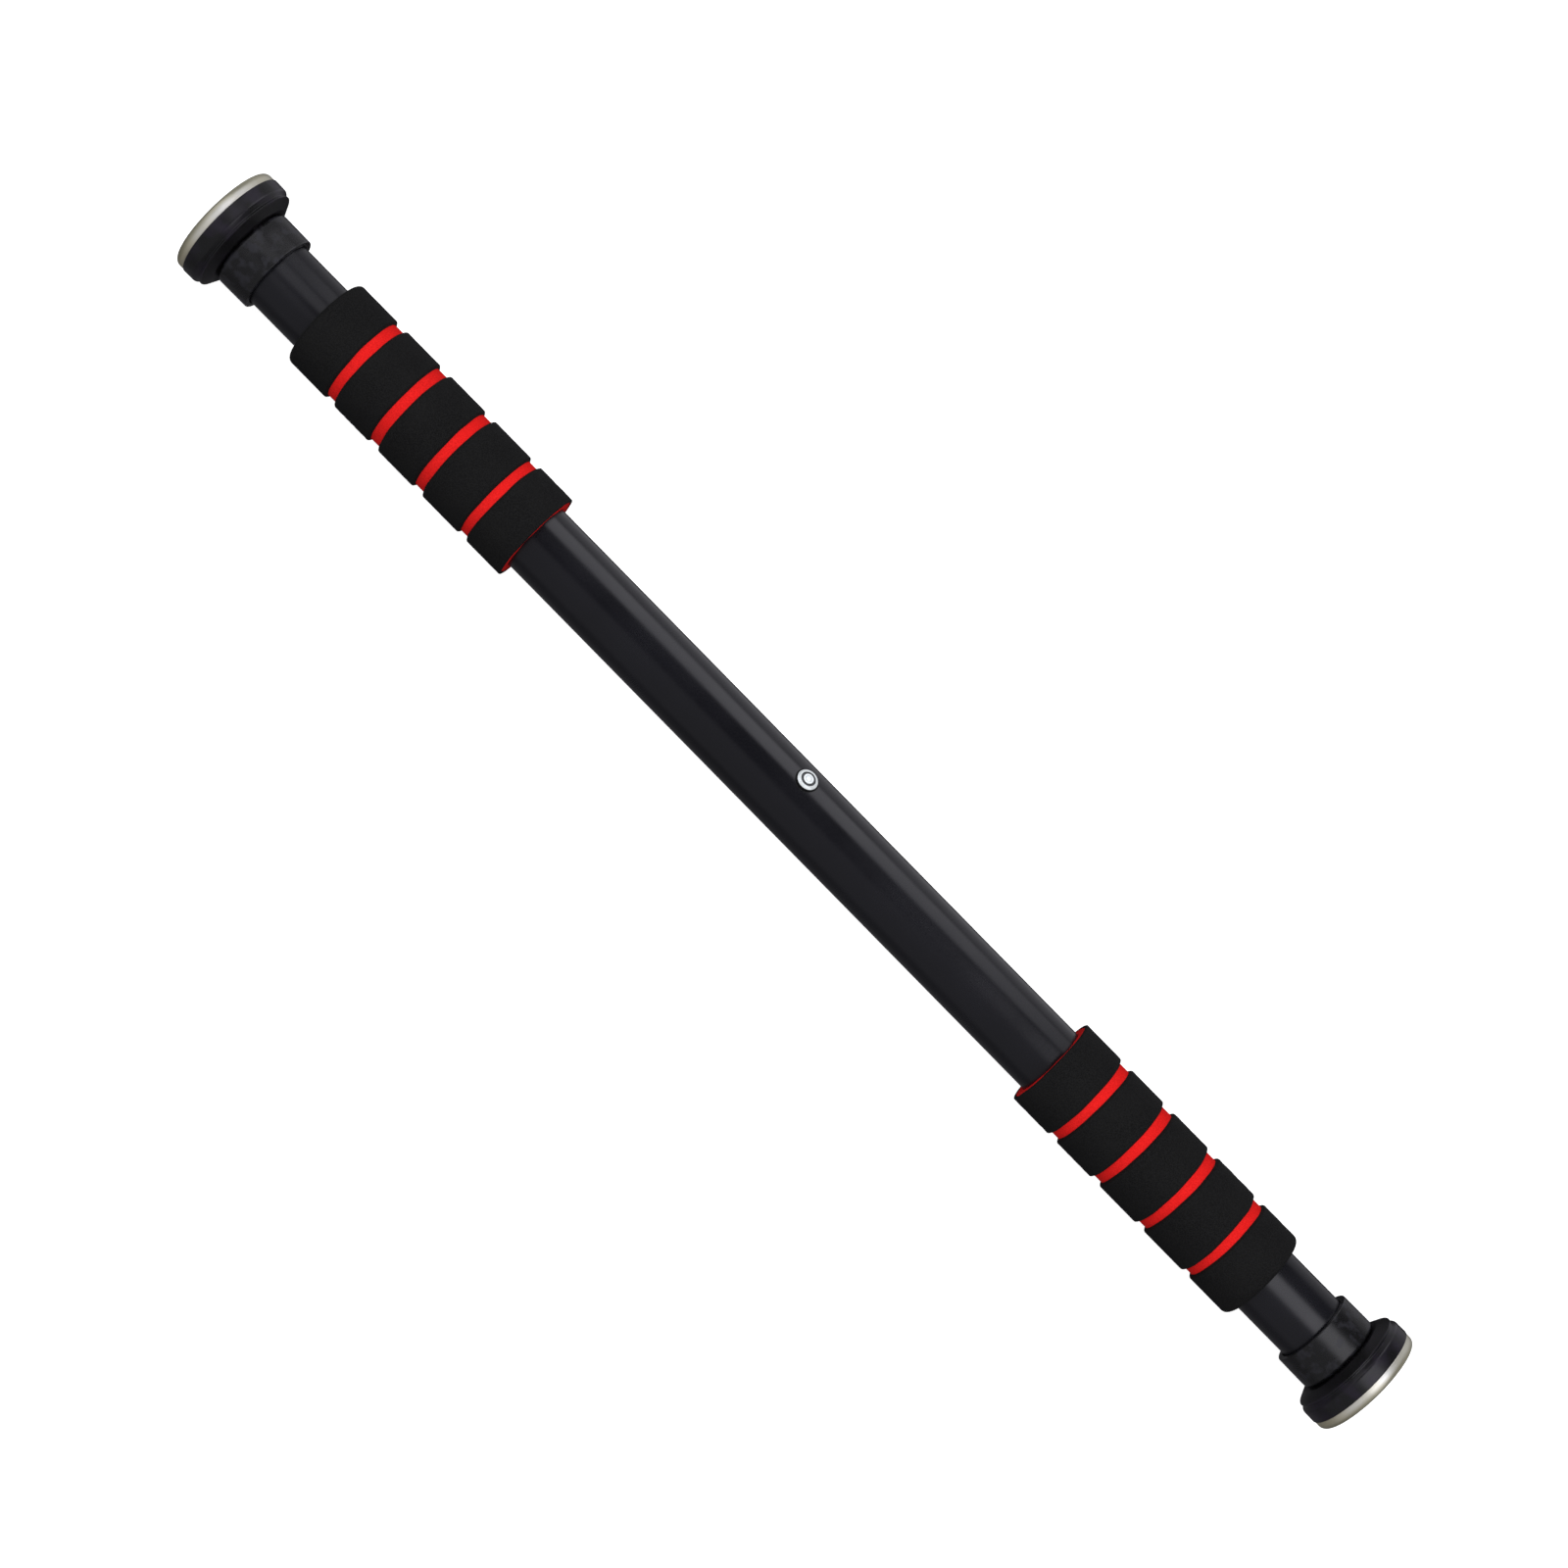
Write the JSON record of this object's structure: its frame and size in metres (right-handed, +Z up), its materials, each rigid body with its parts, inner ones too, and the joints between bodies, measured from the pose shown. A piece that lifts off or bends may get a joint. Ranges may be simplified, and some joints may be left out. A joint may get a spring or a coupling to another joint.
{
  "type": "pull up bar",
  "caption": "Telescoping doorway pull up bar: a black steel tube with ribbed foam grips and a round screw-out foot on each end.",
  "frame": {"origin": "middle of the bar's axis, halfway between the two feet's outer faces, with the bar at its shortest", "axes": "+X along the bar's axis from the left foot to the right foot; +Z up, the side that the rivet's head leans from by 37.5 degrees towards +Y"},
  "size_m": [0.68, 0.0534, 0.0534],
  "materials": {
    "tube_paint": "semi-gloss black powder coat",
    "plated_steel": "bright zinc plate",
    "rivet_metal": "bright zinc plate",
    "screw_steel": "rolled thread, zinc plate, lightly oiled",
    "red_foam": "cut face of closed-cell foam",
    "black_foam": "fine closed-cell foam",
    "black_plastic": "smooth moulded black",
    "cup_plastic": "smooth moulded black",
    "nylon": "natural nylon",
    "plate_metal": "satin nickel plate",
    "pad_rubber": "matt black rubber"
  },
  "bodies": {
    "bar": {"main_tube": "tube_paint", "centre_stiffener": "plated_steel", "rivet_body": "rivet_metal", "rivet_mandrel": "rivet_metal", "left_grip_core": "red_foam", "left_grip_bands": "black_foam", "left_thread_nut": "plated_steel", "left_end_collar": "black_plastic", "right_grip_core": "red_foam", "right_grip_bands": "black_foam", "right_thread_nut": "plated_steel", "right_end_collar": "black_plastic"},
    "left_guide": {"left_guide_bushing": "nylon"},
    "left_foot": {"left_lead_screw": "screw_steel", "left_guide_clip": "plated_steel", "left_screw_flange": "plated_steel", "left_load_ring": "nylon", "left_foot_cup": "cup_plastic", "left_foot_plate": "plate_metal", "left_friction_pad": "pad_rubber", "left_foot_bolt": "plated_steel"},
    "right_guide": {"right_guide_bushing": "nylon"},
    "right_foot": {"right_lead_screw": "screw_steel", "right_guide_clip": "plated_steel", "right_screw_flange": "plated_steel", "right_load_ring": "nylon", "right_foot_cup": "cup_plastic", "right_foot_plate": "plate_metal", "right_friction_pad": "pad_rubber", "right_foot_bolt": "plated_steel"}
  },
  "joints": [
    {"name": "left_extend", "type": "slide", "parent": "bar", "child": "left_guide", "axis": [-1, 0, 0], "range_m": [0, 0.16]},
    {"name": "left_screw_turn", "type": "hinge", "parent": "left_guide", "child": "left_foot", "pos_m": [-0.33, 0, 0], "axis": [1, 0, 0], "range_deg": [0, 11520]},
    {"name": "right_extend", "type": "slide", "parent": "bar", "child": "right_guide", "axis": [1, 0, 0], "range_m": [0, 0.16]},
    {"name": "right_screw_turn", "type": "hinge", "parent": "right_guide", "child": "right_foot", "pos_m": [0.33, 0, 0], "axis": [1, 0, 0], "range_deg": [0, 11520]}
  ],
  "couplings": [
    {"joint": "left_extend", "follows": "left_screw_turn", "m_per_rad": 0.00079577},
    {"joint": "right_extend", "follows": "right_screw_turn", "m_per_rad": 0.00079577}
  ]
}
